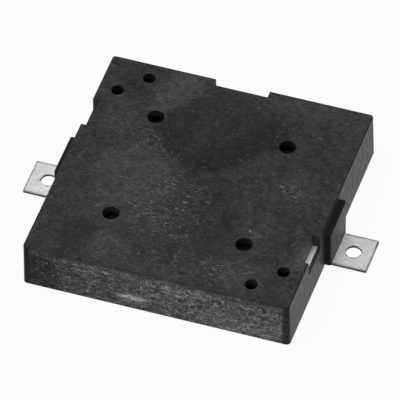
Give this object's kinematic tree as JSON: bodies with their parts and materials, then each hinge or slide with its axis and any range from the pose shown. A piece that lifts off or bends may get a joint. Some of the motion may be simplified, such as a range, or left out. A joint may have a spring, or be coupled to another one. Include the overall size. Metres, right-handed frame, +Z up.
{
  "type": "piezo buzzer",
  "caption": "Square surface-mount piezo buzzer: black moulded case with sound holes in its top and a flat tinned solder tab with a hole at the foot of two opposite sides.",
  "frame": {"origin": "middle of the seating plane, below the middle of the case", "axes": "+Z up through the face with the holes; X through the two terminals; +Y towards the wall with the gate recess"},
  "size_m": [0.0208, 0.016, 0.0032],
  "materials": {
    "case_plastic": "black liquid-crystal polymer with pale flow marks and fine speckle",
    "cover_board": "black moulded plate, fine satin",
    "cover_adhesive": "dark epoxy line",
    "tinned_strip": "matt tin plating with stamping marks",
    "silicone": "soft translucent white",
    "plate_brass": "rolled brass",
    "piezo_ceramic": "fired, matt",
    "fired_silver": "matt fired silver",
    "copper_wire": "enamelled copper",
    "solder": "bright solder"
  },
  "bodies": {
    "root": {"housing": "case_plastic", "cover_plate": "cover_board", "cover_bond": "cover_adhesive", "terminal_right": "tinned_strip", "terminal_left": "tinned_strip", "plate_bond": "silicone", "brass_plate": "plate_brass", "ceramic_disc": "piezo_ceramic", "silver_electrode": "fired_silver", "lead_right": "copper_wire", "lead_left": "copper_wire", "solder_pad_right": "solder", "solder_plate": "solder", "solder_pad_left": "solder", "solder_electrode": "solder"}
  },
  "joints": []
}
